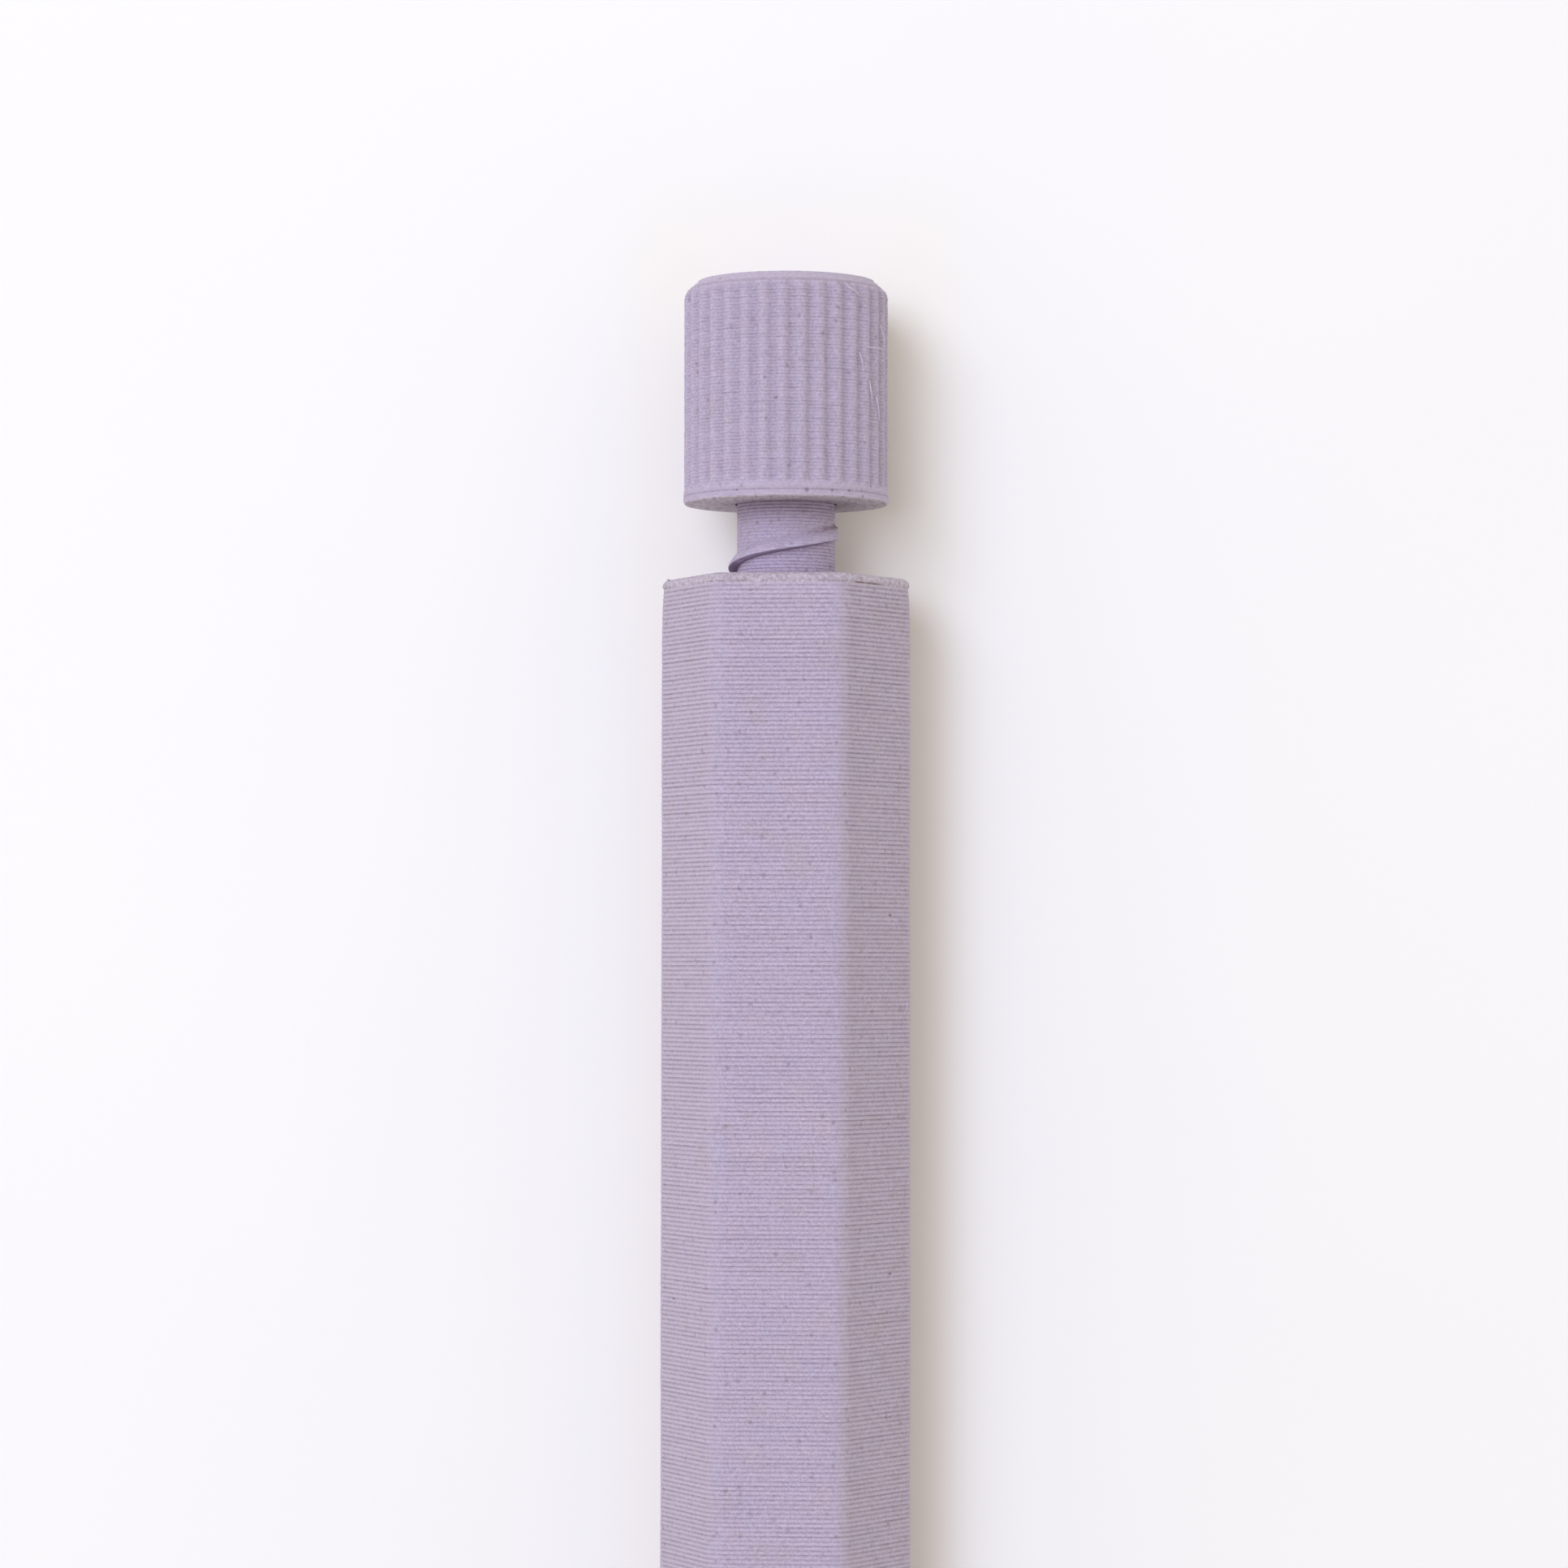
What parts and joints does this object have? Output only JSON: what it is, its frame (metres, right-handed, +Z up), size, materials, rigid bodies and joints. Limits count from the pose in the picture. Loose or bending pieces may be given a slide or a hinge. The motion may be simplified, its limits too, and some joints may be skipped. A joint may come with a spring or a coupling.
{
  "type": "ballpoint pen",
  "caption": "Screw-advance ballpoint pen: six-sided printed barrel with a pencil-like nose, ribbed rear knob on a helically ridged stem, and a sprung ink refill inside.",
  "frame": {"origin": "on the table under the middle of the pen: the centre of the bounding box's bottom, with the pen lying on one flat of its barrel", "axes": "+Y along the pen from the writing tip to the knob, +Z up from the table, +X to the right when the knob points away"},
  "size_m": [0.0112, 0.14, 0.01],
  "materials": {
    "printed_lavender": "matte fused-filament print with fine layer lines",
    "refill_tubing": "milky translucent tube",
    "ink": "blue paste ink",
    "follower_grease": "clear grease",
    "nib_metal": "turned nickel silver",
    "ball_metal": "polished carbide",
    "spring_steel": "drawn wire"
  },
  "bodies": {
    "barrel": {"barrel": "printed_lavender", "return_spring": "spring_steel"},
    "refill": {"refill_tube": "refill_tubing", "ink_column": "ink", "follower_plug": "follower_grease", "nib": "nib_metal"},
    "knob": {"knob": "printed_lavender", "screw_stem": "printed_lavender"},
    "ball": {"writing_ball": "ball_metal"}
  },
  "joints": [
    {"name": "refill_slide", "type": "slide", "parent": "barrel", "child": "refill", "axis": [0, -1, 0], "range_m": [0, 0.00308], "deforming": ["return_spring"]},
    {"name": "knob_turn", "type": "hinge", "parent": "refill", "child": "knob", "pos_m": [0, 0.06, 0.005], "axis": [0, -1, 0], "range_deg": [0, 504]},
    {"name": "ball_roll", "type": "hinge", "parent": "refill", "child": "ball", "pos_m": [0, -0.0689, 0.005], "axis": [1, 0, 0], "continuous": true}
  ],
  "couplings": [
    {"joint": "knob_turn", "follows": "refill_slide", "rad_per_m": 2856}
  ]
}
